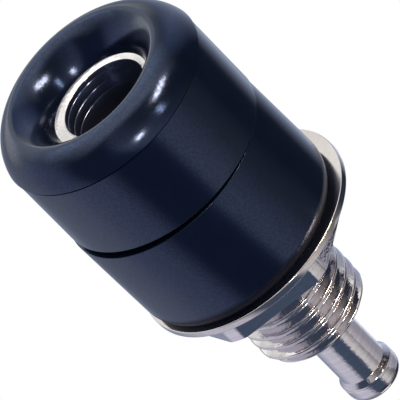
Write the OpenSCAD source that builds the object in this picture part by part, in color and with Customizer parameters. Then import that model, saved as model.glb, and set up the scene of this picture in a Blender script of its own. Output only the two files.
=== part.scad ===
// Insulated panel socket for 4 mm banana plugs: two moulded insulators clamp a panel between them,
// and a turned bush with a threaded shank, a washer and a hex nut holds them together.
// Millimetres. The origin is on the axis in the plane of the panel's front face, +Z out of the mouth.

/* [Front insulator] */
// Outer diameter of both insulators
body_d = 11; // [10.4:0.1:14]
// Height of the straight side above the panel
side_h = 4.62; // [3.4:0.02:8]
// Height of the lip above the straight side
lip_h = 1.6; // [1.2:0.01:2.4]
// How far the foot of the lip stands out past the straight side
lip_step = 0.05; // [0:0.01:0.15]
// Lean of the lip's outer side at its foot, from upright (degrees)
lip_lean = 13; // [4:1:25]
// Diameter of the lip's crest
crest_d = 8.44; // [7.8:0.02:8.8]
// Radius of the rounded crest
crest_r = 0.38; // [0.25:0.01:0.6]
// Diameter of the mouth where the funnel meets the metal face
mouth_d = 5.34; // [5:0.02:6]
// Lean of the funnel at its foot, from upright (degrees)
funnel_lean = 18; // [8:1:30]
// Depth of the metal face below the crest
mouth_depth = 1.64; // [1.4:0.01:2.4]
// Wall of the neck that passes through the panel
neck_wall = 0.975; // [0.7:0.005:1.3]
// Length of the neck behind the panel's front face
neck_len = 3.6; // [2.4:0.1:4.6]
// Radius of the two edges that face the panel
panel_edge_r = 0.2; // [0.05:0.01:0.3]

/* [Rear insulator] */
// Length of the rear ring
rear_len = 5.88; // [4.8:0.01:9]
// Height of the ring's rounded edge at the washer
rear_edge_h = 0.75; // [0.4:0.01:1]
// How far that edge turns in
rear_edge_in = 0.28; // [0.1:0.01:0.35]

/* [Bush] */
// Diameter of the contact bore
bore_d = 4; // [3:0.05:4.4]
// Depth of the shallow dish in the metal face
face_dish = 0.11; // [0:0.01:0.2]
// Least width of the flat land left outside that dish
face_land = 0.1; // [0.05:0.01:0.25]
// Width of the chamfer at the bore's mouth
bore_lead = 0.23; // [0.1:0.01:0.5]
// Metal left between the drill point and the end of the shank
floor_t = 1.5; // [0.8:0.1:3]
// Point angle of the drilled bore (degrees)
drill_angle = 118; // [90:1:140]
// Outer diameter of the thread on the shank
thread_d = 5.95; // [5.6:0.05:6.6]
// End of the shank behind the panel's front face
thread_reach = 12.5; // [11.6:0.1:18]
// Chamfer at the end of the thread
thread_chamfer = 0.38; // [0.2:0.01:0.6]
// Height of the keyed collar's flats above the shank
collar_step = 0.525; // [0.2:0.005:0.9]
// Thickness of the keyed collar inside the front insulator
collar_t = 1.8; // [1:0.1:2.4]

/* [Solder tail] */
// Diameter of the solder pin
pin_d = 2.5; // [2:0.05:3]
// Length of the pin between the shank and the flare
pin_len = 3.7; // [2:0.05:6]
// Fillet at the root of the pin
pin_root_r = 0.15; // [0.05:0.01:0.4]
// Diameter of the bead at the end of the pin
bead_d = 2.93; // [2.6:0.01:3.6]
// Length of the short flare that leads out to the bead's rim
flare_len = 0.25; // [0.1:0.01:1.5]
// Length of the bead behind its rim
bead_len = 1.12; // [0.6:0.01:1.5]
// Radius of the bead's end
bead_r = 0.5; // [0.2:0.01:0.6]

/* [Washer] */
// Outer diameter of the washer
washer_d = 11.66; // [9.6:0.02:14]
// Thickness of the washer
washer_t = 0.38; // [0.2:0.01:1]
// How much wider the washer's hole is than the thread
washer_play = 0.84; // [0.3:0.02:1.2]
// Break of the washer's stamped edges
washer_break = 0.05; // [0.02:0.01:0.09]

/* [Nut] */
// Width of the nut across its flats
nut_af = 9; // [7.8:0.1:10]
// Thickness of the nut
nut_h = 1.3; // [1:0.05:3]
// Depth of the turned round on the nut's corners
nut_corner_cut = 0.19; // [0:0.01:0.25]
// Width of the chamfers on the nut's corners
nut_chamfer = 0.3; // [0.1:0.01:0.5]
// Slope of the corner chamfers (degrees)
nut_chamfer_angle = 30; // [15:1:45]
// Countersink at both ends of the nut's bore
nut_sink = 0.15; // [0.1:0.05:0.5]
// Angle at which the nut has come to rest (degrees)
nut_angle = 48; // [0:1:60]

/* [Clearances] */
// Gap between the two insulators with no panel between them
panel_gap = 0.3; // [0.05:0.01:0.5]
// Radial clearance between the neck and the rear ring
neck_clear = 0.1; // [0.05:0.01:0.3]
// Room beyond the end of the neck inside the rear ring
neck_room = 0.2; // [0.1:0.05:0.5]
// Radial clearance between the rear ring and the thread
web_clear = 0.18; // [0.1:0.01:0.4]
// Radial clearance between the nut and the thread
nut_clear = 0.05; // [0.02:0.01:0.1]
// Gap left where the loose washer hangs on the thread
washer_gap = 0.05; // [0.02:0.01:0.1]

/* [Hidden] */
$fn = 96;
arc_steps = 12;

body_r = body_d / 2;
bore_r = bore_d / 2;
thread_r = thread_d / 2;
neck_r = thread_r + neck_wall;
pin_r = pin_d / 2;
bead_rim_r = bead_d / 2;
dish_r = min(mouth_d / 2, thread_r - face_land);
collar_af = thread_d + 2 * collar_step;

// Heights along the axis, from the lip to the tail
crest_z = side_h + lip_h;
face_z = crest_z - mouth_depth;
dish_z = face_z - face_dish;
collar_z = (face_z - collar_t) / 2;
rear_front_z = -panel_gap;
rear_back_z = rear_front_z - rear_len;
washer_back_z = rear_back_z - washer_t;
nut_back_z = washer_back_z - nut_h;
shank_end_z = -thread_reach;
bore_tip_z = shank_end_z + floor_t;
bore_end_z = bore_tip_z + bore_r / tan(drill_angle / 2);
flare_z = shank_end_z - pin_len;
rim_z = flare_z - flare_len;
tail_z = rim_z - bead_len;

// Points along an arc about a centre, from one angle to another
function arc(centre, r, from, to) =
    [for (i = [0:arc_steps]) let (a = from + (to - from) * i / arc_steps) centre + r * [cos(a), sin(a)]];

// Distance from the foot of a lip's flank to the centre of the arc that leaves the foot along the
// given outward normal and runs tangent into the crest
function flank_r(foot, normal, crest) =
    let (d = crest - foot) (crest_r * crest_r - d * d) / (2 * (d * normal + crest_r));

// Angle of a vector in the section plane
function heading(v) = atan2(v[1], v[0]);

// Corner radius of a hexagon with the given width across its flats
function hex_r(af) = af / 2 / cos(30);

// Section of the lip: outer flank, rounded crest, funnel
crest_centre = [crest_d / 2, crest_z - crest_r];
lip_foot = [body_r + lip_step, side_h];
lip_normal = [cos(lip_lean), sin(lip_lean)];
lip_r = flank_r(lip_foot, lip_normal, crest_centre);
lip_centre = lip_foot - lip_r * lip_normal;
funnel_foot = [mouth_d / 2, face_z];
funnel_normal = [-cos(funnel_lean), sin(funnel_lean)];
funnel_r = flank_r(funnel_foot, funnel_normal, crest_centre);
funnel_centre = funnel_foot - funnel_r * funnel_normal;
lip_turn = heading(crest_centre - lip_centre);
funnel_turn = heading(crest_centre - funnel_centre);
lip_section = concat(
    arc(lip_centre, lip_r, lip_lean, lip_turn),
    arc(crest_centre, crest_r, lip_turn, funnel_turn),
    arc(funnel_centre, funnel_r, funnel_turn, 180 - funnel_lean));

// Hexagonal key of the bush, as a solid on the axis
module collar_hex() {
    translate([0, 0, collar_z])
        cylinder(r = hex_r(collar_af), h = collar_t, $fn = 6);
}

// Front half: straight side with the lip and funnel, and the neck for the panel hole
module front_insulator() {
    color("#1c2029")
        difference() {
            rotate_extrude()
                polygon(concat(
                    [[thread_r, -neck_len],
                     [neck_r, -neck_len],
                     [neck_r, 0]],
                    arc([body_r - panel_edge_r, panel_edge_r], panel_edge_r, -90, 0),
                    [[body_r, side_h]],
                    lip_section,
                    [[thread_r, face_z]]));
            collar_hex();
        }
}

// Rear ring: takes the neck from the front and bears on the washer behind
module rear_insulator() {
    seat_r = neck_r + neck_clear;
    seat_z = rear_front_z - neck_len - neck_room;
    hole_r = thread_r + web_clear;
    edge_r = (rear_edge_h * rear_edge_h + rear_edge_in * rear_edge_in) / (2 * rear_edge_in);
    edge_turn = asin(rear_edge_h / edge_r);
    color("#1a1e26")
        rotate_extrude()
            polygon(concat(
                [[seat_r, rear_front_z],
                 [seat_r, seat_z],
                 [hole_r, seat_z],
                 [hole_r, rear_back_z]],
                arc([body_r - edge_r, rear_back_z + rear_edge_h], edge_r, -edge_turn, 0),
                arc([body_r - panel_edge_r, rear_front_z - panel_edge_r], panel_edge_r, 0, 90)));
}

// Turned bush: contact bore, keyed collar, threaded shank and solder pin in one piece
module socket_bush() {
    key_hole_r = (bore_r + thread_r) / 2;
    color("#b9b3b5") {
        rotate_extrude()
            polygon(concat(
                [[0, bore_tip_z],
                 [bore_r, bore_end_z],
                 [bore_r, dish_z - bore_lead],
                 [bore_r + bore_lead, dish_z],
                 [dish_r, face_z],
                 [thread_r, face_z],
                 [thread_r, shank_end_z + thread_chamfer],
                 [thread_r - thread_chamfer, shank_end_z]],
                arc([pin_r + pin_root_r, shank_end_z - pin_root_r], pin_root_r, 90, 180),
                [[pin_r, flare_z],
                 [bead_rim_r, rim_z]],
                arc([bead_rim_r - bead_r, tail_z + bead_r], bead_r, 0, -90),
                [[0, tail_z]]));
        difference() {
            collar_hex();
            translate([0, 0, collar_z])
                cylinder(r = key_hole_r, h = collar_t);
        }
    }
}

// Loose washer, hanging to one side on the thread
module washer() {
    hole_r = thread_r + washer_play / 2;
    rim_r = washer_d / 2;
    color("#cfc8c8")
        translate([washer_play / 2 - washer_gap, 0, 0])
            rotate_extrude()
                polygon([
                    [hole_r, washer_back_z],
                    [rim_r - washer_break, washer_back_z],
                    [rim_r, washer_back_z + washer_break],
                    [rim_r, rear_back_z - washer_break],
                    [rim_r - washer_break, rear_back_z],
                    [hole_r, rear_back_z]]);
}

// Hex nut with chamfered corners on both faces
module hex_nut() {
    corner_r = hex_r(nut_af) - nut_corner_cut;
    face_r = corner_r - nut_chamfer;
    drop = nut_chamfer * tan(nut_chamfer_angle);
    hole_r = thread_r + nut_clear;
    color("#b9b3b5")
        intersection() {
            rotate_extrude()
                polygon([
                    [hole_r + nut_sink, nut_back_z],
                    [face_r, nut_back_z],
                    [corner_r, nut_back_z + drop],
                    [corner_r, washer_back_z - drop],
                    [face_r, washer_back_z],
                    [hole_r + nut_sink, washer_back_z],
                    [hole_r, washer_back_z - nut_sink],
                    [hole_r, nut_back_z + nut_sink]]);
            translate([0, 0, nut_back_z])
                rotate([0, 0, nut_angle])
                    cylinder(r = hex_r(nut_af), h = nut_h, $fn = 6);
        }
}

front_insulator();
rear_insulator();
socket_bush();
washer();
hex_nut();
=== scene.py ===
"""Panel banana socket: two moulded insulators on a turned, threaded bush with a washer and a hex nut."""

import math

import bmesh
import bpy
from bpy.props import FloatProperty, FloatVectorProperty, PointerProperty
from mathutils import Matrix, Vector


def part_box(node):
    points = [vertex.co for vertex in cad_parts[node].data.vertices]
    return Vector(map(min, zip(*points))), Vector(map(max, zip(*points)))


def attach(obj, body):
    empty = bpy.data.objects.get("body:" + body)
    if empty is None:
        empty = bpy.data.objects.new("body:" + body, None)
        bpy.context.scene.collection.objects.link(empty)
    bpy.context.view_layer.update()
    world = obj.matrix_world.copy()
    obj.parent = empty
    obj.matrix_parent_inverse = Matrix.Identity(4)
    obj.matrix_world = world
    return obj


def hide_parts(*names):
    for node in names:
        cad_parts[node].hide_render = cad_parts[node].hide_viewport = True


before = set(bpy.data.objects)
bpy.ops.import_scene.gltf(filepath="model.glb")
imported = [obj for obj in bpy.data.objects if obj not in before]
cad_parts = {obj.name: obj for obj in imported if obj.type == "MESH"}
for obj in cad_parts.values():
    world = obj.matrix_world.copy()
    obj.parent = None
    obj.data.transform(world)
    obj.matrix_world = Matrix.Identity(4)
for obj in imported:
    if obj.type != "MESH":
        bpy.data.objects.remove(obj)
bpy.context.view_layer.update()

bl_info = {
    "name": "Banana socket",
    "version": (1, 0, 0),
    "blender": (4, 5, 0),
    "location": "View3D > Sidebar > Socket",
    "description": "Builds the finished pieces of a panel banana socket around its solids",
    "category": "Object",
}

MM = 0.001

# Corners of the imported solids, which set the pieces' main heights and radii
FRONT_LOW, FRONT_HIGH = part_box("front_insulator")
REAR_LOW, REAR_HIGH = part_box("rear_insulator")
BUSH_LOW, BUSH_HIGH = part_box("socket_bush")
WASHER_LOW, WASHER_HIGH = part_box("washer")
NUT_LOW, NUT_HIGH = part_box("hex_nut")

# Steps of the meshes round the axis, and on a small edge, lip arc, thread turn, nut side and bore ring;
# then the number of bore rings, and the angle from which an edge is shown sharp
TURN_STEPS = 240
EDGE_STEPS = 5
LIP_STEPS = 28
THREAD_ROWS = 22
SIDE_STEPS = 36
RING_STEPS = 8
BORE_RINGS = 3
SHARP_ANGLE = math.radians(32)


def size(label, millimetres, about):
    """A length that a user may change, with its default given in millimetres."""
    return FloatProperty(name=label, description=about, default=millimetres * MM, unit="LENGTH",
                         precision=6)


def lean(label, degrees, about):
    """An angle that a user may change, with its default given in degrees."""
    return FloatProperty(name=label, description=about, default=math.radians(degrees), subtype="ANGLE")


def linear(code):
    """Linear colour of an sRGB hex code."""
    parts = [int(code[i:i + 2], 16) / 255 for i in (1, 3, 5)]
    return [p / 12.92 if p <= 0.04045 else ((p + 0.055) / 1.055) ** 2.4 for p in parts]


def colour(label, code, about):
    """A colour that a user may change, with its default given as an sRGB hex code."""
    return FloatVectorProperty(name=label, description=about, default=linear(code), size=3, min=0, max=1,
                               subtype="COLOR")


class InsulatorSizes(bpy.types.PropertyGroup):
    """Sizes of the two moulded insulators."""

    side_height: size("Straight side", 4.62, "Height of the front's straight side above the panel")
    lip_step: size("Lip step", 0.05, "How far the foot of the lip stands out past the straight side")
    lip_groove: size("Lip groove", 0.13, "Height and depth of the groove under the lip at -X; half at +X")
    lip_lean: lean("Lip lean", 13, "Lean of the lip's outer side at its foot, from upright")
    crest_diameter: size("Crest diameter", 8.2, "Diameter of the lip's crest")
    crest_radius: size("Crest radius", 0.38, "Radius of the rounded crest")
    mouth_diameter: size("Mouth diameter", 5.34, "Diameter where the funnel meets the metal face")
    funnel_lean: lean("Funnel lean", 18, "Lean of the funnel at its foot, from upright")
    neck_diameter: size("Neck diameter", 7.9, "Diameter of the neck that passes through the panel")
    seat_diameter: size("Seat diameter", 8.1, "Diameter of the rear ring's seat for the neck")
    seat_depth: size("Seat depth", 3.8, "Depth of the rear ring's seat for the neck")
    web_diameter: size("Web diameter", 6.31, "Diameter of the rear ring's hole for the shank")
    panel_edge: size("Panel edge", 0.2, "Radius of the front's edge at the panel on the worn side at -X")
    ring_edge: size("Ring edge", 0.02, "Radius of the rear ring's edge, and of the front's edge at +X")
    rear_edge_height: size("Rear edge height", 0.75, "Height of the rounded edge at the washer")
    rear_edge_in: size("Rear edge turn", 0.28, "How far the rounded edge at the washer turns in")
    inner_edge: size("Inner edge", 0.08, "Radius of the moulded edges inside")


class TurnedSizes(bpy.types.PropertyGroup):
    """Sizes of the turned bush and its thread."""

    bore_diameter: size("Bore", 4.0, "Diameter of the contact bore")
    face_dish: size("Face dish", 0.11, "Depth of the shallow dish in the face")
    dish_shift: size("Dish shift", 0.17, "How far the dish's inner edge lies off the axis")
    dish_turn: lean("Dish turn", 40, "Direction, from +X, in which the dish's edge lies off the axis")
    bore_lead: size("Bore lead", 0.23, "Width of the steep lead at the bore's mouth")
    lead_height: size("Lead height", 1.4, "Height of the steep lead at the bore's mouth")
    bore_depth: size("Bore depth", 14.378, "Depth of the bore's straight wall below the face")
    drill_angle: lean("Drill point", 118, "Point angle of the drilled bore")
    shank_end: size("Shank reach", 12.5, "End of the shank behind the panel's front face")
    thread_diameter: size("Thread", 5.95, "Outer diameter of the thread")
    thread_pitch: size("Pitch", 0.75, "Rise of the thread in one turn")
    thread_depth: size("Thread depth", 0.43, "Height of the thread from root to crest")
    thread_top: size("Thread top", -4.4, "Height where the thread begins")
    thread_crest: size("Thread crest", -9.21, "Height of a crest on the +X side")
    thread_chamfer: size("Thread chamfer", 0.38, "Chamfer at the end of the thread")
    collar_flats: size("Collar", 7.0, "Width of the keyed collar across its flats")
    collar_height: size("Collar height", 1.8, "Thickness of the keyed collar")
    pin_diameter: size("Pin", 2.5, "Diameter of the solder pin")
    pin_root: size("Pin root", 0.15, "Fillet at the root of the pin")
    pin_end: size("Pin end", -16.2, "Height where the pin flares out to the bead")
    rim_height: size("Rim height", -16.45, "Height of the rim of the bead")
    rim_radius: size("Rim radius", 0.1, "Radius of the bead's rim")
    bead_diameter: size("Bead", 2.93, "Diameter of the bead at the end of the pin")
    bead_radius: size("Bead radius", 0.5, "Radius of the bead's end")
    rim_groove: size("Rim groove", 0.05, "Width and depth of the fine groove under the rim")
    ring_start: size("First ring", 0.23, "Depth of the first of the tool's rings in the lead")
    ring_spacing: size("Bore rings", 0.42, "Spacing of the tool's rings in the lead")
    ring_width: size("Ring width", 0.08, "Width of one of the tool's rings")
    ring_depth: size("Ring depth", 0.03, "Depth of one of the tool's rings where it is deepest")
    ring_turn: lean("Ring turn", 150, "Direction, from +X, in which the tool's rings are deepest")
    edge: size("Turned edge", 0.03, "Radius of the broken edges on turned metal")


class ClampSizes(bpy.types.PropertyGroup):
    """Sizes of the washer and the nut."""

    washer_hole: size("Washer hole", 6.79, "Diameter of the washer's hole")
    washer_edge: size("Washer edge", 0.05, "Radius of the washer's stamped edges")
    nut_flats: size("Nut", 9.0, "Width of the nut across its flats")
    nut_corner_cut: size("Corner round", 0.19, "Depth of the turned round on the nut's corners")
    nut_corner_blend: size("Corner blend", 0.05, "Softness of the nut's corners")
    nut_chamfer: size("Nut chamfer", 0.3, "Width of the chamfers on the nut's corners at the washer")
    nut_foot: size("Foot chamfer", 0.08, "Width of the chamfers on the nut's free corners")
    nut_slope: lean("Chamfer slope", 30, "Slope of the corner chamfers")
    nut_sink: size("Countersink", 0.15, "Countersink at both ends of the nut's thread")
    nut_angle: lean("Nut angle", 48, "Angle at which the nut has come to rest")
    slack_lean: lean("Lean", 1.6, "How far the loose rear ring and washer lean back on the nut's edge")
    slack_shift: size("Ring shift", 0.13, "How far the loose rear ring has moved sideways")
    thread_clearance: size("Thread clearance", 0.05, "Radial play between the nut's thread and the shank's")


class SocketFinish(bpy.types.PropertyGroup):
    """Colours of the materials and the studio."""

    plastic: colour("Plastic", "#080c18", "Body colour of the black thermoplastic")
    plastic_pale: colour("Plastic, pale", "#0d1426", "Paler flow marks in the black thermoplastic")
    plastic_sheen: colour("Plastic sheen", "#a8c2ff", "Cool tint of the gloss on the black thermoplastic")
    nickel: colour("Nickel", "#eee8e9", "Bright nickel plating")
    nickel_shade: colour("Nickel, shade", "#c2bcbf", "Nickel plating in the tool's rings")
    # The bore's two colours, darker and bluer than the nickel outside, are partly thin plating and partly
    # painted shade of the deep hole
    bore: colour("Bore", "#7f8aa6", "Thin, dull plating inside the bore")
    bore_shade: colour("Bore, shade", "#5c6784", "Tarnish inside the bore")
    steel: colour("Washer", "#dcd5d4", "Nickel plating on the stamped washer")
    steel_shade: colour("Washer, shade", "#c8c0c0", "Tumbled marks on the stamped washer")
    floor: colour("Floor", "#f2f2f2", "Plain pale floor")
    roof: colour("Tent roof", "#fbfdf8", "White of the light tent's roof")
    roof_front: colour("Roof, front", "#fff4e4", "Lamp light on the front of the tent's roof")
    cool_wall: colour("Cool wall", "#ebedff", "Daylight on the tent's wall at -X")
    far_wall: colour("Far wall", "#d6e3ff", "Blue daylight on the tent's wall behind the object")
    dark_wall: colour("Dark wall", "#b0cfff", "Dim light of the room through the tent's openings")
    lamp_wall: colour("Lamp wall", "#fefdff", "Lamp light on the tent's wall at +X")


# Section drawing

def rounded(corners):
    """Points of a section whose corners (radius, height, rounding) are turned into small arcs."""
    path = []
    last = len(corners) - 1
    for i, (r, z, rounding) in enumerate(corners):
        here = Vector((r, z))
        if rounding == 0 or i in (0, last):
            path.append(here)
            continue
        back = (Vector(corners[i - 1][:2]) - here).normalized()
        on = (Vector(corners[i + 1][:2]) - here).normalized()
        half = back.angle(on) / 2
        centre = here + (back + on).normalized() * (rounding / math.sin(half))
        middle = heading(here - centre)
        swing = math.copysign(math.pi / 2 - half, on.cross(back))
        path += arc(centre, rounding, middle - swing, middle + swing, EDGE_STEPS)
    return path


def arc(centre, radius, start, end, steps):
    """Points along an arc in the section plane, between two angles."""
    angles = [start + (end - start) * k / steps for k in range(steps + 1)]
    return [centre + radius * Vector((math.cos(a), math.sin(a))) for a in angles]


def flank(foot, normal, crest, crest_radius):
    """Centre and radius of the arc that leaves a foot along its normal and runs tangent into the crest."""
    reach = crest - foot
    radius = (crest_radius ** 2 - reach.length_squared) / (2 * (reach.dot(normal) + crest_radius))
    return foot - radius * normal, radius


def heading(vector):
    """Angle of a vector in the section plane."""
    return math.atan2(vector.y, vector.x)


def hexagon(across_flats, angle):
    """Radius of a hexagon, with a corner at angle zero, in the given direction."""
    off_flat = (angle % math.radians(60)) - math.radians(30)
    return across_flats / 2 / math.cos(off_flat)


def turned(name, section_at, closed, angles=None, placing=Matrix()):
    """A new object, turned about the axis from the section at each angle, then placed."""
    angles = angles or [math.tau * k / TURN_STEPS for k in range(TURN_STEPS)]
    mesh = bmesh.new()
    columns = []
    poles = {}
    for angle in angles:
        column = []
        for i, (r, z) in enumerate(section_at(angle)):
            place = placing @ Vector((r * math.cos(angle), r * math.sin(angle), z))
            if r == 0:
                column.append(poles.setdefault(i, None) or mesh.verts.new(place))
                poles[i] = column[-1]
            else:
                column.append(mesh.verts.new(place))
        columns.append(column)
    rows = len(columns[0])
    for k, column in enumerate(columns):
        beside = columns[(k + 1) % len(columns)]
        for i in range(rows if closed else rows - 1):
            j = (i + 1) % rows
            corners = [column[i], beside[i], beside[j], column[j]]
            mesh.faces.new(list(dict.fromkeys(corners)))
    bmesh.ops.recalc_face_normals(mesh, faces=mesh.faces)
    data = bpy.data.meshes.new(name)
    mesh.to_mesh(data)
    mesh.free()
    data.shade_smooth()
    data.set_sharp_from_angle(angle=SHARP_ANGLE)
    piece = bpy.data.objects.new(name, data)
    bpy.context.scene.collection.objects.link(piece)
    return piece


def leaning(shift):
    """Placing of a loose piece that has moved sideways and leans back on the nut's edge at -X."""
    sizes = bpy.context.scene.socket_clamp
    edge = Vector((sizes.nut_chamfer + sizes.nut_corner_cut - hexagon(sizes.nut_flats, 0), 0, NUT_HIGH.z))
    lean_back = Matrix.Rotation(-sizes.slack_lean, 4, "Y")
    return Matrix.Translation(edge) @ lean_back @ Matrix.Translation(shift - edge)


def hand_over(piece, body, node, material=None):
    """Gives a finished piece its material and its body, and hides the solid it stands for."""
    if material:
        piece.data.materials.append(material)
    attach(piece, body)
    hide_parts(node)


# Materials

def add(tree, kind, inputs=None, **settings):
    """Adds a node, with its settings, and sets or links its inputs."""
    node = tree.nodes.new(kind)
    for key, value in settings.items():
        setattr(node, key, value)
    for key, value in (inputs or {}).items():
        if isinstance(value, bpy.types.NodeSocket):
            tree.links.new(value, node.inputs[key])
        else:
            node.inputs[key].default_value = value
    return node


def new_material(name):
    """An empty node material, with its shader."""
    material = bpy.data.materials.new(name)
    material.use_nodes = True
    return material, material.node_tree, material.node_tree.nodes["Principled BSDF"]


def moulded_black_thermoplastic():
    """Moulded thermoplastic from a polished tool: near-black with a cool satin gloss, so that it shows
    broad soft bands of the light around it, broken by a fine grain and by faint flow marks from the
    moulding. On the rear ring's foot at the washer it is made matt and low in gloss: painted shade there."""
    finish = bpy.context.scene.socket_finish
    material, tree, shader = new_material("moulded black thermoplastic")
    place = add(tree, "ShaderNodeTexCoord").outputs["Object"]
    flow_width = 1.4 * MM
    grain_width = 0.09 * MM  # finer in reality; drawn at about two pixels so that it shows
    flow = add(tree, "ShaderNodeTexNoise", {"Vector": place, "Scale": 1 / flow_width, "Detail": 3})
    grain = add(tree, "ShaderNodeTexNoise", {"Vector": place, "Scale": 1 / grain_width, "Detail": 2})
    tone = add(tree, "ShaderNodeMix", {
        0: flow.outputs[0],
        6: [*finish.plastic, 1],
        7: [*finish.plastic_pale, 1],
    }, data_type="RGBA")
    gloss = add(tree, "ShaderNodeMapRange", {0: grain.outputs[0], 1: 0.3, 2: 0.7, 3: 0.11, 4: 0.2})
    glint = add(tree, "ShaderNodeMapRange", {0: grain.outputs[0], 1: 0.4, 2: 0.6, 3: 1.0, 4: 0.72})
    height = add(tree, "ShaderNodeSeparateXYZ", {0: place}).outputs[2]
    # Between these heights the rear ring's foot at the washer turns matt and low in gloss, as painted shade
    glossy_above = -5.3 * MM
    painted_shade_below = -5.6 * MM
    cut = add(tree, "ShaderNodeMapRange", {0: height, 1: glossy_above, 2: painted_shade_below}).outputs[0]
    dull = add(tree, "ShaderNodeMix", {0: cut, 2: gloss.outputs[0], 3: 0.5})
    sheen = add(tree, "ShaderNodeMix", {0: cut, 2: glint.outputs[0], 3: 0.2})
    waves = add(tree, "ShaderNodeBump", {
        "Strength": 0.25,
        "Distance": 0.01 * MM,
        "Height": flow.outputs[0],
    })
    bump = add(tree, "ShaderNodeBump", {
        "Strength": 0.5,
        "Distance": 0.005 * MM,
        "Height": grain.outputs[0],
        "Normal": waves.outputs[0],
    })
    shader.inputs["Specular Tint"].default_value = [*finish.plastic_sheen, 1]
    tree.links.new(tone.outputs[2], shader.inputs["Base Color"])
    tree.links.new(dull.outputs[0], shader.inputs["Roughness"])
    tree.links.new(sheen.outputs[0], shader.inputs["Specular IOR Level"])
    tree.links.new(bump.outputs[0], shader.inputs["Normal"])
    return material


def turning_marks(tree, ring_width):
    """Noise that is even round the axis, as the rings a lathe tool leaves on faces and sides."""
    place = add(tree, "ShaderNodeTexCoord").outputs["Object"]
    parts = add(tree, "ShaderNodeSeparateXYZ", {0: place})
    flat = add(tree, "ShaderNodeVectorMath", {0: place, 1: (1, 1, 0)}, operation="MULTIPLY")
    radius = add(tree, "ShaderNodeVectorMath", {0: flat.outputs[0]}, operation="LENGTH")
    ring = add(tree, "ShaderNodeCombineXYZ", {0: radius.outputs["Value"], 1: parts.outputs[2]})
    return add(tree, "ShaderNodeTexNoise", {
        "Vector": ring.outputs[0],
        "Scale": 1 / ring_width,
        "Detail": 2,
    })


def bright_nickel_on_turned_brass():
    """Bright nickel plating on turned brass: a warm mirror, slightly blurred along the tool's rings, which
    stay visible through the thin plating, and uneven from the barrel in which it was plated."""
    finish = bpy.context.scene.socket_finish
    material, tree, shader = new_material("bright nickel on turned brass")
    rings = turning_marks(tree, 0.11 * MM)
    place = add(tree, "ShaderNodeTexCoord").outputs["Object"]
    dent_width = 0.16 * MM
    dents = add(tree, "ShaderNodeTexNoise", {"Vector": place, "Scale": 1 / dent_width, "Detail": 1})
    tone = add(tree, "ShaderNodeMix", {
        0: rings.outputs[0],
        6: [*finish.nickel, 1],
        7: [*finish.nickel_shade, 1],
    }, data_type="RGBA")
    dull = add(tree, "ShaderNodeMapRange", {0: rings.outputs[0], 1: 0.3, 2: 0.7, 3: 0.05, 4: 0.14})
    uneven = add(tree, "ShaderNodeBump", {
        "Strength": 0.5,
        "Distance": 0.016 * MM,
        "Height": dents.outputs[0],
    })
    bump = add(tree, "ShaderNodeBump", {
        "Strength": 0.4,
        "Distance": 0.004 * MM,
        "Height": rings.outputs[0],
        "Normal": uneven.outputs[0],
    })
    shader.inputs["Metallic"].default_value = 1
    tree.links.new(tone.outputs[2], shader.inputs["Base Color"])
    tree.links.new(dull.outputs[0], shader.inputs["Roughness"])
    tree.links.new(bump.outputs[0], shader.inputs["Normal"])
    return material


def dull_plating_and_painted_shade_in_the_bore():
    """Plating inside a drilled bore and on its lead: darker, bluer and duller than outside, with the
    drill's rings. This is partly thin plating and partly painted shade of the deep hole.
    """
    finish = bpy.context.scene.socket_finish
    material, tree, shader = new_material("dull plating and painted shade in the bore")
    rings = turning_marks(tree, 0.3 * MM)
    tone = add(tree, "ShaderNodeMix", {
        0: rings.outputs[0],
        6: [*finish.bore, 1],
        7: [*finish.bore_shade, 1],
    }, data_type="RGBA")
    dull = add(tree, "ShaderNodeMapRange", {0: rings.outputs[0], 1: 0.3, 2: 0.7, 3: 0.12, 4: 0.22})
    bump = add(tree, "ShaderNodeBump", {
        "Strength": 0.5,
        "Distance": 0.006 * MM,
        "Height": rings.outputs[0],
    })
    shader.inputs["Metallic"].default_value = 0.93  # the rest is a grey film of tarnish
    tree.links.new(tone.outputs[2], shader.inputs["Base Color"])
    tree.links.new(dull.outputs[0], shader.inputs["Roughness"])
    tree.links.new(bump.outputs[0], shader.inputs["Normal"])
    return material


def nickel_on_stamped_steel():
    """Nickel plating on a stamped steel washer: pale and even, with a fine blur from tumbling."""
    finish = bpy.context.scene.socket_finish
    material, tree, shader = new_material("nickel on stamped steel")
    place = add(tree, "ShaderNodeTexCoord").outputs["Object"]
    mark_width = 0.25 * MM
    tumbling = add(tree, "ShaderNodeTexNoise", {"Vector": place, "Scale": 1 / mark_width, "Detail": 4})
    tone = add(tree, "ShaderNodeMix", {
        0: tumbling.outputs[0],
        6: [*finish.steel, 1],
        7: [*finish.steel_shade, 1],
    }, data_type="RGBA")
    dull = add(tree, "ShaderNodeMapRange", {0: tumbling.outputs[0], 1: 0.3, 2: 0.7, 3: 0.09, 4: 0.16})
    bump = add(tree, "ShaderNodeBump", {
        "Strength": 0.15,
        "Distance": 0.003 * MM,
        "Height": tumbling.outputs[0],
    })
    shader.inputs["Metallic"].default_value = 1
    tree.links.new(tone.outputs[2], shader.inputs["Base Color"])
    tree.links.new(dull.outputs[0], shader.inputs["Roughness"])
    tree.links.new(bump.outputs[0], shader.inputs["Normal"])
    return material


def shared(make):
    """The material that a function makes, made once."""
    name = make.__name__.replace("_", " ")
    return bpy.data.materials.get(name) or make()


# Thread, with flats on its crest and root given as shares of the pitch

CREST_FLAT = 0.125
ROOT_FLAT = 0.21
THREAD_INPUTS = {
    "Outer Radius": "NodeSocketFloat",
    "Root Radius": "NodeSocketFloat",
    "Pitch": "NodeSocketFloat",
    "Crest Height": "NodeSocketFloat",
    "Thread Low": "NodeSocketVector",
    "Thread High": "NodeSocketVector",
    "Inside": "NodeSocketBool",
    "Finish": "NodeSocketMaterial",
    "Lined Low": "NodeSocketVector",
    "Lined High": "NodeSocketVector",
    "Lining": "NodeSocketMaterial",
}


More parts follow.
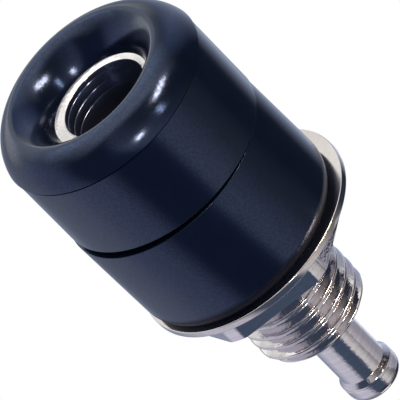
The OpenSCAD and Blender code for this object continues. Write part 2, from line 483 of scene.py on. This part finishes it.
def thread_tree():
    """Geometry nodes that cut a right-hand thread into a turned surface and give it its finish.
    A zone is a box in radius and height. The radius falls from crest to root with the distance from
    the helix, and never leaves the turned section."""
    known = bpy.data.node_groups.get("cut thread")
    if known:
        return known
    tree = bpy.data.node_groups.new("cut thread", "GeometryNodeTree")
    tree.is_modifier = True
    tree.interface.new_socket("Geometry", in_out="INPUT", socket_type="NodeSocketGeometry")
    tree.interface.new_socket("Geometry", in_out="OUTPUT", socket_type="NodeSocketGeometry")
    for name, kind in THREAD_INPUTS.items():
        tree.interface.new_socket(name, in_out="INPUT", socket_type=kind)
    given = add(tree, "NodeGroupInput").outputs
    place = add(tree, "GeometryNodeInputPosition").outputs[0]
    axes = add(tree, "ShaderNodeSeparateXYZ", {0: place}).outputs
    flat = add(tree, "ShaderNodeCombineXYZ", {0: axes[0], 1: axes[1]}).outputs[0]
    radius = add(tree, "ShaderNodeVectorMath", {0: flat}, operation="LENGTH").outputs["Value"]
    spot = add(tree, "ShaderNodeCombineXYZ", {0: radius, 2: axes[2]}).outputs[0]

    # Distance from the helix along the axis, in pitches, and the radius of the thread there
    angle = add(tree, "ShaderNodeMath", {0: axes[1], 1: axes[0]}, operation="ARCTAN2").outputs[0]
    turns = add(tree, "ShaderNodeMath", {0: angle, 1: math.tau}, operation="DIVIDE").outputs[0]
    height = add(tree, "ShaderNodeMath", {0: axes[2], 1: given["Crest Height"]},
                 operation="SUBTRACT").outputs[0]
    rise = add(tree, "ShaderNodeMath", {0: height, 1: given["Pitch"]}, operation="DIVIDE").outputs[0]
    ahead = add(tree, "ShaderNodeMath", {0: rise, 1: turns}, operation="SUBTRACT").outputs[0]
    away = add(tree, "ShaderNodeMath", {0: ahead, 1: 0.5}, operation="PINGPONG").outputs[0]
    flank = add(tree, "ShaderNodeMapRange", {
        0: away,
        1: CREST_FLAT / 2,
        2: (1 - ROOT_FLAT) / 2,
        3: given["Outer Radius"],
        4: given["Root Radius"],
    }).outputs[0]
    outside = add(tree, "ShaderNodeMath", {0: radius, 1: flank}, operation="MINIMUM").outputs[0]
    inside = add(tree, "ShaderNodeMath", {0: radius, 1: flank}, operation="MAXIMUM").outputs[0]
    cut = add(tree, "GeometryNodeSwitch", {0: given["Inside"], 1: outside, 2: inside},
              input_type="FLOAT").outputs[0]
    change = add(tree, "ShaderNodeMath", {0: cut, 1: radius}, operation="DIVIDE").outputs[0]
    scale = add(tree, "ShaderNodeCombineXYZ", {0: change, 1: change, 2: 1.0}).outputs[0]
    moved = add(tree, "ShaderNodeVectorMath", {0: place, 1: scale}, operation="MULTIPLY").outputs[0]

    over_thread = add(tree, "FunctionNodeCompare", {4: spot, 5: given["Thread Low"]}, data_type="VECTOR",
                      operation="GREATER_THAN").outputs[0]
    under_thread = add(tree, "FunctionNodeCompare", {4: spot, 5: given["Thread High"]}, data_type="VECTOR",
                       operation="LESS_THAN").outputs[0]
    threaded = add(tree, "FunctionNodeBooleanMath", {0: over_thread, 1: under_thread}).outputs[0]
    over_lining = add(tree, "FunctionNodeCompare", {4: spot, 5: given["Lined Low"]}, data_type="VECTOR",
                      operation="GREATER_THAN").outputs[0]
    under_lining = add(tree, "FunctionNodeCompare", {4: spot, 5: given["Lined High"]}, data_type="VECTOR",
                       operation="LESS_THAN").outputs[0]
    lined = add(tree, "FunctionNodeBooleanMath", {0: over_lining, 1: under_lining}).outputs[0]

    surface = add(tree, "GeometryNodeSetPosition", {
        0: given["Geometry"],
        "Selection": threaded,
        "Position": moved,
    })
    real = add(tree, "GeometryNodeRealizeInstances", {0: surface.outputs[0]})
    plated = add(tree, "GeometryNodeSetMaterial", {0: real.outputs[0], "Material": given["Finish"]})
    finished = add(tree, "GeometryNodeSetMaterial", {
        0: plated.outputs[0],
        "Selection": lined,
        "Material": given["Lining"],
    })
    add(tree, "NodeGroupOutput", {0: finished.outputs[0]})
    return tree


def cut_thread(piece, values):
    """Runs the thread's nodes on a turned piece and keeps the result as its plain mesh."""
    modifier = piece.modifiers.new("cut thread", "NODES")
    tree = thread_tree()
    modifier.node_group = tree
    for item in tree.interface.items_tree:
        if item.name in THREAD_INPUTS:
            modifier[item.identifier] = values[item.name]
    evaluated = piece.evaluated_get(bpy.context.evaluated_depsgraph_get())
    plain = bpy.data.meshes.new_from_object(evaluated)
    piece.modifiers.remove(modifier)
    old = piece.data
    piece.data = plain
    bpy.data.meshes.remove(old)
    plain.name = piece.name


# Pieces

class SOCKET_OT_front_insulator(bpy.types.Operator):
    """Makes the front insulator: straight side, rounded lip, funnel and neck"""

    bl_idname = "socket.front_insulator"
    bl_label = "Front insulator"

    def execute(self, context):
        sizes = context.scene.socket_insulators
        metal = context.scene.socket_turned
        crest = Vector((sizes.crest_diameter / 2, FRONT_HIGH.z - sizes.crest_radius))
        foot = Vector((-FRONT_LOW.x, sizes.side_height))
        side_radius = foot.x - sizes.lip_step
        normal = Vector((math.cos(sizes.lip_lean), math.sin(sizes.lip_lean)))
        lip_centre, lip_radius = flank(foot, normal, crest, sizes.crest_radius)
        mouth = Vector((sizes.mouth_diameter / 2, BUSH_HIGH.z))
        mouth_normal = Vector((-math.cos(sizes.funnel_lean), math.sin(sizes.funnel_lean)))
        funnel_centre, funnel_radius = flank(mouth, mouth_normal, crest, sizes.crest_radius)
        lip_turn = heading(crest - lip_centre)
        funnel_turn = heading(crest - funnel_centre)
        inner = metal.thread_diameter / 2
        collar_low = (BUSH_HIGH.z - metal.collar_height) / 2
        collar_high = collar_low + metal.collar_height
        outside = arc(lip_centre, lip_radius, sizes.lip_lean, lip_turn, LIP_STEPS)
        outside += arc(crest, sizes.crest_radius, lip_turn, funnel_turn, LIP_STEPS)[1:]
        funnel_foot = math.pi - sizes.funnel_lean
        outside += arc(funnel_centre, funnel_radius, funnel_turn, funnel_foot, LIP_STEPS)[1:]
        outside.append(Vector((inner, BUSH_HIGH.z)))

        def section(angle):
            """Neck, side with an edge worn round at -X, lip, and the pocket for the bush's collar."""
            worn = ((1 - math.cos(angle)) / 2) ** 2
            groove = sizes.lip_groove * (1 + worn) / 2
            side = rounded([
                (inner, FRONT_LOW.z, 0),
                (sizes.neck_diameter / 2, FRONT_LOW.z, sizes.inner_edge),
                (sizes.neck_diameter / 2, 0, 0),
                (side_radius, 0, sizes.ring_edge + (sizes.panel_edge - sizes.ring_edge) * worn),
                (side_radius, sizes.side_height - groove, 0),
                (side_radius - groove, sizes.side_height - groove, 0),
                (side_radius - groove, sizes.side_height, 0),
            ])
            key = hexagon(metal.collar_flats, angle)
            pocket = [(inner, collar_high), (key, collar_high), (key, collar_low), (inner, collar_low)]
            return side + outside + pocket

        piece = turned("front_shell", section, closed=True)
        plastic = shared(moulded_black_thermoplastic)
        hand_over(piece, "socket", "front_insulator", plastic)
        return {"FINISHED"}


class SOCKET_OT_rear_insulator(bpy.types.Operator):
    """Makes the rear insulator: a ring with a seat for the neck"""

    bl_idname = "socket.rear_insulator"
    bl_label = "Rear insulator"

    def execute(self, context):
        sizes = context.scene.socket_insulators
        outer = REAR_HIGH.x
        top, bottom = REAR_HIGH.z, REAR_LOW.z
        edge_radius = (sizes.rear_edge_height ** 2 + sizes.rear_edge_in ** 2) / (2 * sizes.rear_edge_in)
        edge_turn = math.asin(sizes.rear_edge_height / edge_radius)
        edge_centre = Vector((outer - edge_radius, bottom + sizes.rear_edge_height))
        inside = rounded([
            (outer - sizes.ring_edge * 2, top, 0),
            (sizes.seat_diameter / 2, top, sizes.inner_edge),
            (sizes.seat_diameter / 2, top - sizes.seat_depth, 0),
            (sizes.web_diameter / 2, top - sizes.seat_depth, 0),
            (sizes.web_diameter / 2, bottom, sizes.inner_edge),
            (outer - sizes.rear_edge_in * 1.5, bottom, 0),
        ])
        side = arc(edge_centre, edge_radius, -edge_turn, 0, EDGE_STEPS * 2)
        corner = Vector((outer - sizes.ring_edge, top - sizes.ring_edge))
        side += arc(corner, sizes.ring_edge, 0, math.pi / 2, EDGE_STEPS)
        shift = Vector((context.scene.socket_clamp.slack_shift, 0, 0))
        piece = turned("rear_ring", lambda angle: inside + side, closed=True, placing=leaning(shift))
        plastic = shared(moulded_black_thermoplastic)
        hand_over(piece, "clamp", "rear_insulator", plastic)
        return {"FINISHED"}


class SOCKET_OT_bush(bpy.types.Operator):
    """Makes the turned bush with its bore, threaded shank and solder pin"""

    bl_idname = "socket.bush"
    bl_label = "Threaded bush"

    def execute(self, context):
        sizes = context.scene.socket_turned
        bore = sizes.bore_diameter / 2
        shank = sizes.thread_diameter / 2
        face = BUSH_HIGH.z
        dish = face - sizes.face_dish
        mouth = context.scene.socket_insulators.mouth_diameter / 2
        bore_end = face - sizes.bore_depth
        bore_tip = bore_end - bore / math.tan(sizes.drill_angle / 2)
        collar_low = (face - sizes.collar_height) / 2
        collar_high = collar_low + sizes.collar_height
        end = -sizes.shank_end
        pin = sizes.pin_diameter / 2
        bead = sizes.bead_diameter / 2
        groove = sizes.rim_height - sizes.rim_radius
        head = [(0, bore_tip), (bore, bore_end), (bore, dish - sizes.lead_height)]
        rings = []
        for k in reversed(range(BORE_RINGS)):
            middle = dish - sizes.ring_start - k * sizes.ring_spacing
            for j in range(RING_STEPS + 1):
                depth = sizes.ring_depth * math.sin(math.pi * j / RING_STEPS) ** 2
                rings.append((middle + sizes.ring_width * (j / RING_STEPS - 0.5), depth))
        row = sizes.thread_pitch / THREAD_ROWS
        rows = math.ceil((sizes.thread_top - end) / row)
        heights = [sizes.thread_top + (end - sizes.thread_top) * k / rows for k in range(rows + 1)]
        threaded = [Vector((min(shank, shank - sizes.thread_chamfer + z - end), z)) for z in heights]
        root = sizes.pin_root
        tail = arc(Vector((pin + root, end - root)), root, math.pi / 2, math.pi, EDGE_STEPS)
        tail += rounded([
            (pin, end - root * 2, 0),
            (pin, sizes.pin_end, sizes.edge),
            (bead, sizes.rim_height, sizes.rim_radius),
            (bead, groove, 0),
            (bead - sizes.rim_groove, groove - sizes.rim_groove / 2, 0),
            (bead, groove - sizes.rim_groove, 0),
            (bead, BUSH_LOW.z, sizes.bead_radius),
            (0, BUSH_LOW.z, 0),
        ])

        def section(angle):
            """Bore, dished face, keyed collar, shank, pin and bead."""
            wide = sizes.bore_lead + sizes.dish_shift * math.cos(angle - sizes.dish_turn)
            cut = ((1 + math.cos(angle - sizes.ring_turn)) / 2) ** 4
            slope = wide / sizes.lead_height
            lead = [(bore + wide - (dish - z) * slope + depth * cut, z) for z, depth in rings]
            brim = rounded([
                lead[-1] + (0,),
                (bore + wide, dish, sizes.edge),
                (mouth, face, 0),
                (shank, face, sizes.edge),
                (shank, collar_high, 0),
            ])
            key = hexagon(sizes.collar_flats, angle)
            collar = [(key, collar_high), (key, collar_low), (shank, collar_low)]
            return head + lead[:-1] + brim + collar + threaded + tail

        widest = sizes.bore_lead + sizes.dish_shift
        piece = turned("plated_bush", section, closed=False)
        cut_thread(piece, {
            "Outer Radius": shank,
            "Root Radius": shank - sizes.thread_depth,
            "Pitch": sizes.thread_pitch,
            "Crest Height": sizes.thread_crest,
            "Thread Low": ((shank + bore) / 2, -1, end - sizes.edge),
            "Thread High": (shank + sizes.edge, 1, sizes.thread_top),
            "Inside": False,
            "Finish": shared(bright_nickel_on_turned_brass),
            # The darker lining, which is partly painted shade, reaches up over the lead at the bore's mouth
            "Lined Low": (-1, -1, end),
            "Lined High": (bore + widest + sizes.edge, 1, dish - sizes.edge / 2),
            "Lining": shared(dull_plating_and_painted_shade_in_the_bore),
        })
        hand_over(piece, "socket", "socket_bush")
        return {"FINISHED"}


class SOCKET_OT_washer(bpy.types.Operator):
    """Makes the loose washer, which hangs to one side"""

    bl_idname = "socket.washer"
    bl_label = "Washer"

    def execute(self, context):
        sizes = context.scene.socket_clamp
        middle = (WASHER_LOW + WASHER_HIGH) / 2
        rim = (WASHER_HIGH.y - WASHER_LOW.y) / 2
        hole = sizes.washer_hole / 2
        top, bottom = WASHER_HIGH.z, WASHER_LOW.z
        section = rounded([
            ((hole + rim) / 2, bottom, 0),
            (rim, bottom, sizes.washer_edge),
            (rim, top, sizes.washer_edge),
            (hole, top, sizes.washer_edge),
            (hole, bottom, sizes.washer_edge),
            ((hole + rim) / 2 - sizes.washer_edge, bottom, 0),
        ])
        shift = Vector((middle.x, middle.y, 0))
        piece = turned("thin_washer", lambda angle: section, closed=True, placing=leaning(shift))
        hand_over(piece, "clamp", "washer", shared(nickel_on_stamped_steel))
        return {"FINISHED"}


class SOCKET_OT_nut(bpy.types.Operator):
    """Makes the hex nut with its chamfered corners and its thread"""

    bl_idname = "socket.nut"
    bl_label = "Hex nut"

    def execute(self, context):
        sizes = context.scene.socket_clamp
        metal = context.scene.socket_turned
        top, bottom = NUT_HIGH.z, NUT_LOW.z
        corner = sizes.nut_flats / 2 / math.cos(math.radians(30)) - sizes.nut_corner_cut
        ledge = corner - sizes.nut_chamfer
        foot = corner - sizes.nut_foot
        slope = math.tan(sizes.nut_slope)
        crest = metal.thread_diameter / 2 + sizes.thread_clearance
        hole = crest - metal.thread_depth
        sink = crest + sizes.nut_sink
        sink_depth = sizes.nut_sink + metal.thread_depth
        rows = math.ceil((top - bottom - 2 * sink_depth) / (metal.thread_pitch / THREAD_ROWS))
        heights = [top - sink_depth + (bottom - top + 2 * sink_depth) * k / rows for k in range(rows + 1)]
        cone = [k / THREAD_ROWS for k in range(THREAD_ROWS)]
        bore = [Vector((sink - (sink - hole) * k, top - sink_depth * k)) for k in cone]
        bore += [Vector((hole, z)) for z in heights]
        bore += [Vector((sink - (sink - hole) * k, bottom + sink_depth * k)) for k in reversed(cone)]

        def section(angle):
            """Thread hole, faces, chamfers and flats in one direction."""
            flat = hexagon(sizes.nut_flats, angle - sizes.nut_angle)
            blend = max(sizes.nut_corner_blend - abs(flat - corner), 0) ** 2 / (4 * sizes.nut_corner_blend)
            side = min(flat, corner) - blend
            rise = max(side - foot, 0) * slope
            drop = max(side - ledge, 0) * slope
            under = [(min(side, foot), bottom), (side, bottom + rise)]
            return bore + under + [(side, top - drop), (min(side, ledge), top)]

        # Steps that crowd towards the corners, where the flats turn
        share = [math.radians(30) * math.sin(math.pi * (k / SIDE_STEPS - 0.5)) for k in range(SIDE_STEPS)]
        angles = [sizes.nut_angle + math.radians(60 * i + 30) + s for i in range(6) for s in share]
        piece = turned("hex_nut_plated", section, closed=True, angles=angles)
        cut_thread(piece, {
            "Outer Radius": crest,
            "Root Radius": hole,
            "Pitch": metal.thread_pitch,
            "Crest Height": metal.thread_crest,
            "Thread Low": (hole - metal.edge, -1, bottom),
            "Thread High": (crest + metal.edge, 1, top),
            "Inside": True,
            "Finish": shared(bright_nickel_on_turned_brass),
            "Lined Low": (-1, -1, bottom),
            "Lined High": (crest, 1, top),
            "Lining": shared(bright_nickel_on_turned_brass),
        })
        hand_over(piece, "nut", "hex_nut")
        return {"FINISHED"}


# Studio

VIEW_ELEVATION = math.radians(33.4)
VIEW_ROLL = math.radians(44.545)
VIEW_TARGET = Vector((-0.03, 0, -3.2)) * MM
VIEW_DISTANCE = 400 * MM
VIEW_LENS = 774
FLOOR_DROP = 300 * MM
FLOOR_RADIUS = 60 * MM
CAMERA_FLOOR_GLOW = 0.6

# The light tent's wall: degrees round the axis from the camera's side, low down, brightness against white,
# and tint. Its edges slant towards -X with height, by so many radians for a rise of one. It dims to a share
# at its foot and at its head, between heights given as sines of the elevation
TENT_WALL = [
    (-180, 0.48, "far_wall"),
    (-145, 0.44, "far_wall"),
    (-100, 0.82, "cool_wall"),
    (-58, 0.77, "cool_wall"),
    (-47, 0.45, "cool_wall"),
    (-38, 0.16, "dark_wall"),
    (0, 0.14, "dark_wall"),
    (8, 0.2, "dark_wall"),
    (17, 0.73, "lamp_wall"),
    (30, 0.7, "lamp_wall"),
    (60, 0.25, "lamp_wall"),
    (92, 0.07, "dark_wall"),
    (126, 0.05, "dark_wall"),
    (145, 0.6, "far_wall"),
    (160, 0.9, "far_wall"),
    (180, 0.48, "far_wall"),
]
TENT_SLANT = 0.63
TENT_FOOT = 0.45
TENT_FOOT_FROM = math.sin(math.radians(-40))
TENT_FOOT_TO = math.sin(math.radians(-65))
TENT_HEAD = 0.6
TENT_HEAD_FROM = 0.35
TENT_HEAD_TO = 0.75

# The tent's bright roof, a strip over the object: degrees from the camera's side up and over to the back,
# brightness and tint; then how far the strip is turned towards -X at the back, where its middle lies across
# that, towards +X, and how far from there it is full and ends
TENT_ROOF = [
    (0, 0, "roof_front"),
    (65, 0, "roof_front"),
    (79, 1.9, "roof_front"),
    (93, 1.8, "roof_front"),
    (105, 2.2, "roof"),
    (117, 2.2, "roof"),
    (127, 1.2, "roof"),
    (138, 1.35, "roof"),
    (150, 1.0, "roof"),
    (163, 1.4, "roof"),
    (180, 0.8, "roof"),
]
TENT_ROOF_TURN = math.radians(15)
TENT_ROOF_MIDDLE = 0.06
TENT_ROOF_SIDE = 0.36
TENT_ROOF_END = 0.82

# Soft lamps, and a white card close to the shank: direction and elevation in degrees, distance, width and
# height in metres, brightness against white, colour, and the height in millimetres that each one faces
LAMPS = {
    "key lamp": (58, 45, 1.2, 0.42, 0.16, 36, "#ffe6c6", 0),
    "front lamp": (1, 20, 1.2, 0.15, 0.17, 38, "#ffe8ca", 0),
    "side lamp": (34, 23, 1.2, 0.1, 0.32, 11, "#fffaf0", 0),
    "card": (106, -33, 0.02, 0.036, 0.011, 0.37, "#f4f2ff", -13.8),
}


def direction(azimuth, elevation):
    """Unit vector to a place round the object, from the camera's side towards +X."""
    a, e = math.radians(azimuth), math.radians(elevation)
    return Vector((math.sin(a) * math.cos(e), -math.cos(a) * math.cos(e), math.sin(e)))


def light_tent():
    """World of a white light tent that is open at the camera and at +X. The camera sees plain white."""
    finish = bpy.context.scene.socket_finish
    world = bpy.data.worlds.new("light tent")
    world.use_nodes = True
    tree = world.node_tree
    tree.nodes.clear()
    way = add(tree, "ShaderNodeTexCoord").outputs["Generated"]
    axes = add(tree, "ShaderNodeSeparateXYZ", {0: way}).outputs
    to_camera = add(tree, "ShaderNodeMath", {0: axes[1], 1: -1.0}, operation="MULTIPLY").outputs[0]
    round_axis = add(tree, "ShaderNodeMath", {0: axes[0], 1: to_camera}, operation="ARCTAN2").outputs[0]
    height = add(tree, "ShaderNodeMath", {0: axes[2], 1: math.sin(VIEW_ELEVATION)}).outputs[0]
    slanted = add(tree, "ShaderNodeMath", {0: height, 1: TENT_SLANT, 2: round_axis},
                  operation="MULTIPLY_ADD").outputs[0]
    turns = add(tree, "ShaderNodeMath", {0: slanted, 1: 1 / math.tau, 2: 0.5},
                operation="MULTIPLY_ADD").outputs[0]
    share = add(tree, "ShaderNodeMath", {0: turns}, operation="FRACT").outputs[0]
    wall = add(tree, "ShaderNodeValToRGB", {0: share})
    over = add(tree, "ShaderNodeMath", {0: axes[2], 1: to_camera}, operation="ARCTAN2").outputs[0]
    way_over = add(tree, "ShaderNodeMapRange", {0: over, 1: 0.0, 2: math.pi}).outputs[0]
    roof = add(tree, "ShaderNodeValToRGB", {0: way_over})
    for ramp, lights in ((wall, TENT_WALL), (roof, TENT_ROOF)):
        stops = ramp.color_ramp.elements
        colours = [[*Vector(getattr(finish, tint)) * brightness, 1] for _, brightness, tint in lights]
        stops[0].color, stops[1].color = colours[0], colours[-1]
        first, last = lights[0][0], lights[-1][0]
        for (degrees, _, _), shade in zip(lights[1:-1], colours[1:-1]):
            stops.new((degrees - first) / (last - first)).color = shade
    foot = add(tree, "ShaderNodeMapRange", {
        0: axes[2],
        1: TENT_FOOT_FROM,
        2: TENT_FOOT_TO,
        3: 1.0,
        4: TENT_FOOT,
    }, interpolation_type="SMOOTHSTEP").outputs[0]
    dimmed = add(tree, "ShaderNodeMapRange", {
        0: axes[2],
        1: TENT_HEAD_FROM,
        2: TENT_HEAD_TO,
        3: foot,
        4: TENT_HEAD,
    }).outputs[0]
    sides = add(tree, "ShaderNodeVectorMath", {0: wall.outputs[0], "Scale": dimmed},
                operation="SCALE").outputs[0]
    breadth = (math.cos(TENT_ROOF_TURN), math.sin(TENT_ROOF_TURN), 0)
    across = add(tree, "ShaderNodeVectorMath", {0: way, 1: breadth},
                 operation="DOT_PRODUCT").outputs["Value"]
    off_middle = add(tree, "ShaderNodeMath", {0: across, 1: TENT_ROOF_MIDDLE},
                     operation="SUBTRACT").outputs[0]
    aside = add(tree, "ShaderNodeMath", {0: off_middle}, operation="ABSOLUTE").outputs[0]
    near = add(tree, "ShaderNodeMapRange", {0: aside, 1: TENT_ROOF_END, 2: TENT_ROOF_SIDE}).outputs[0]
    strip = add(tree, "ShaderNodeVectorMath", {0: roof.outputs[0], "Scale": near},
                operation="SCALE").outputs[0]
    glow = add(tree, "ShaderNodeVectorMath", {0: sides, 1: strip}, operation="MAXIMUM")
    tent = add(tree, "ShaderNodeBackground", {"Color": glow.outputs[0]}).outputs[0]
    white = add(tree, "ShaderNodeBackground", {"Color": [1, 1, 1, 1], "Strength": 1.0}).outputs[0]
    seen = add(tree, "ShaderNodeLightPath").outputs["Is Camera Ray"]
    both = add(tree, "ShaderNodeMixShader", {0: seen, 1: tent, 2: white}).outputs[0]
    add(tree, "ShaderNodeOutputWorld", {0: both})
    return world


def pale_floor_material():
    """Matt pale board: white to the camera by its own glow, with room left for a soft shadow."""
    finish = bpy.context.scene.socket_finish
    material, tree, shader = new_material("matt pale board")
    seen = add(tree, "ShaderNodeLightPath").outputs["Is Camera Ray"]
    glow = add(tree, "ShaderNodeMath", {0: seen, 1: CAMERA_FLOOR_GLOW}, operation="MULTIPLY").outputs[0]
    shader.inputs["Base Color"].default_value = [*finish.floor, 1]
    shader.inputs["Roughness"].default_value = 0.9
    shader.inputs["Emission Color"].default_value = [1, 1, 1, 1]
    tree.links.new(glow, shader.inputs["Emission Strength"])
    return material


class SOCKET_OT_stage(bpy.types.Operator):
    """Sets the floor, the soft light and the camera"""

    bl_idname = "socket.stage"
    bl_label = "Stage"

    def execute(self, context):
        scene = context.scene
        board = bmesh.new()
        bmesh.ops.create_circle(board, cap_ends=True, segments=96, radius=FLOOR_RADIUS,
                                matrix=Matrix.Translation((0, 0, BUSH_LOW.z - FLOOR_DROP)))
        data = bpy.data.meshes.new("floor")
        board.to_mesh(data)
        board.free()
        data.materials.append(pale_floor_material())
        floor = bpy.data.objects.new("floor", data)
        scene.collection.objects.link(floor)

        scene.world = light_tent()
        for name, (azimuth, elevation, distance, width, height, brightness, code, aim) in LAMPS.items():
            lamp = bpy.data.lights.new(name, "AREA")
            lamp.shape = "RECTANGLE"
            lamp.size, lamp.size_y = width, height
            lamp.energy = brightness * math.pi * width * height
            lamp.color = linear(code)
            holder = bpy.data.objects.new(name, lamp)
            away = direction(azimuth, elevation)
            holder.location = away * distance + Vector((0, 0, aim * MM))
            holder.rotation_euler = away.to_track_quat("Z", "Y").to_euler()
            holder.visible_camera = False
            scene.collection.objects.link(holder)

        back = direction(0, math.degrees(VIEW_ELEVATION))
        level = Vector((1, 0, 0))
        upright = back.cross(level)
        right = math.cos(VIEW_ROLL) * level - math.sin(VIEW_ROLL) * upright
        up = math.sin(VIEW_ROLL) * level + math.cos(VIEW_ROLL) * upright
        camera = bpy.data.objects.new("camera", bpy.data.cameras.new("camera"))
        camera.data.lens = VIEW_LENS
        turn = Matrix((right, up, back)).transposed().to_4x4()
        camera.matrix_world = Matrix.Translation(VIEW_TARGET + back * VIEW_DISTANCE) @ turn
        scene.collection.objects.link(camera)
        scene.camera = camera
        scene.view_settings.view_transform = "Standard"
        return {"FINISHED"}


class SOCKET_PT_pieces(bpy.types.Panel):
    """Lists the socket's pieces and sizes"""

    bl_idname = "SOCKET_PT_pieces"
    bl_label = "Banana socket"
    bl_space_type = "VIEW_3D"
    bl_region_type = "UI"
    bl_category = "Socket"

    def draw(self, context):
        for operator in OPERATORS:
            self.layout.operator(operator.bl_idname)
        for name, group in GROUPS.items():
            box = self.layout.box()
            for key in group.__annotations__:
                box.prop(getattr(context.scene, name), key)


GROUPS = {
    "socket_insulators": InsulatorSizes,
    "socket_turned": TurnedSizes,
    "socket_clamp": ClampSizes,
    "socket_finish": SocketFinish,
}
OPERATORS = [
    SOCKET_OT_front_insulator,
    SOCKET_OT_rear_insulator,
    SOCKET_OT_bush,
    SOCKET_OT_washer,
    SOCKET_OT_nut,
    SOCKET_OT_stage,
]


def register():
    """Adds the classes and the scene's properties."""
    for item in [*GROUPS.values(), *OPERATORS, SOCKET_PT_pieces]:
        bpy.utils.register_class(item)
    for name, group in GROUPS.items():
        setattr(bpy.types.Scene, name, PointerProperty(type=group))


def unregister():
    """Takes them away again."""
    for name in GROUPS:
        delattr(bpy.types.Scene, name)
    for item in [SOCKET_PT_pieces, *reversed(OPERATORS), *reversed(GROUPS.values())]:
        bpy.utils.unregister_class(item)


def main():
    """Makes every piece and the stage."""
    register()
    bpy.ops.socket.front_insulator()
    bpy.ops.socket.rear_insulator()
    bpy.ops.socket.bush()
    bpy.ops.socket.washer()
    bpy.ops.socket.nut()
    bpy.ops.socket.stage()


if __name__ == "__main__":
    main()
